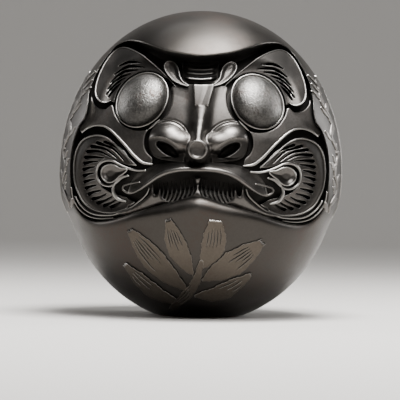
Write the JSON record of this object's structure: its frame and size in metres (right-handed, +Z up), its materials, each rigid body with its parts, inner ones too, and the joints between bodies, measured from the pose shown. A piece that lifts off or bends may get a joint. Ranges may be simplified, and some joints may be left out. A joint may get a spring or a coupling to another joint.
{
  "type": "daruma doll",
  "caption": "Egg-shaped roly-poly ornament with a scowling relief face of inlaid metal pieces, a weighted base and a felt foot.",
  "frame": {"origin": "middle of the underside, on the surface the doll stands on", "axes": "+Z up, -Y out of the face, +X towards the viewer's right when the face is looked at"},
  "size_m": [0.16, 0.16, 0.173],
  "materials": {
    "shell_steel": "blasted and waxed dark satin",
    "relief_steel": "blackened, with the raised edges rubbed bright",
    "panel_steel": "blackened in the recesses",
    "eye_steel": "coarsely speckled satin",
    "emblem_bronze": "warm brown-grey flat relief",
    "fastener_steel": "plain bright steel",
    "ballast_iron": "as cast",
    "foot_felt": "pressed wool felt"
  },
  "bodies": {
    "root": {"shell": "shell_steel", "face_frame": "panel_steel", "face_panel": "panel_steel", "face_panel_screws": "fastener_steel", "brow_plate_left": "relief_steel", "brow_plate_right": "relief_steel", "forehead_bar": "relief_steel", "forehead_drop_left": "relief_steel", "forehead_drop_right": "relief_steel", "nose": "relief_steel", "nose_tip": "relief_steel", "eye_left": "eye_steel", "eye_right": "eye_steel", "eye_ring_left": "relief_steel", "eye_ring_right": "relief_steel", "cheek_plate_left": "relief_steel", "cheek_plate_right": "relief_steel", "cheek_drop_left": "relief_steel", "cheek_drop_right": "relief_steel", "cheek_ridge_left": "relief_steel", "cheek_ridge_right": "relief_steel", "lip_band": "relief_steel", "mouth_post": "relief_steel", "beard_comb_left": "relief_steel", "beard_comb_right": "relief_steel", "jaw_ridge_left": "relief_steel", "jaw_ridge_right": "relief_steel", "belly_emblem": "emblem_bronze", "flank_emblem_left": "shell_steel", "flank_emblem_right": "shell_steel", "base_plate": "fastener_steel", "base_screws": "fastener_steel", "ballast": "ballast_iron", "ballast_bolt": "fastener_steel", "foot_pad": "foot_felt"}
  },
  "joints": []
}
